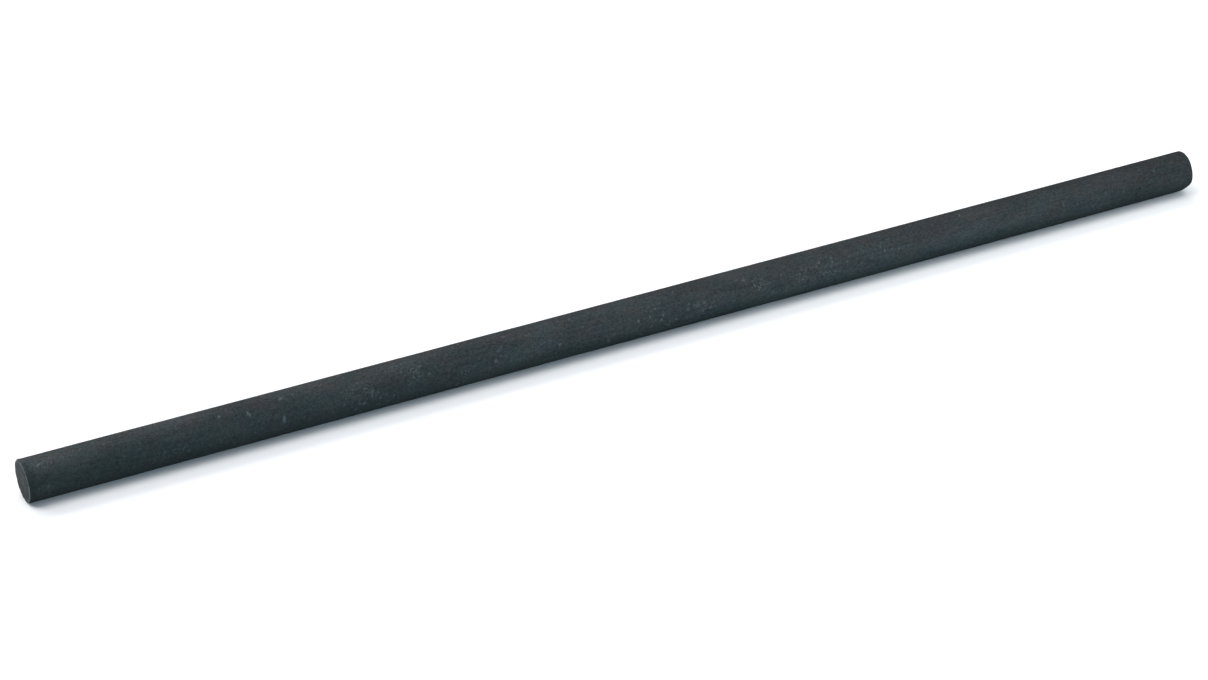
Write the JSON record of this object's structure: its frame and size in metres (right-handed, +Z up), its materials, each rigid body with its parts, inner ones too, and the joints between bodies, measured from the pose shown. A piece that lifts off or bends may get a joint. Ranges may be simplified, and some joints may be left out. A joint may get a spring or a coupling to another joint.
{
  "type": "charcoal stick",
  "caption": "Slim, straight, round stick of drawing charcoal with flat ends, one slightly chipped, lying on its side.",
  "frame": {"origin": "on the surface that the stick lies on, straight under the middle of its length", "axes": "+X along the stick from the clean sawn end to the worn, chipped end; +Z up from the surface that it lies on; +Y across it"},
  "size_m": [0.15, 0.0048, 0.0048],
  "materials": {
    "charcoal": "matte"
  },
  "bodies": {
    "root": {"charcoal_stick": "charcoal"}
  },
  "joints": []
}
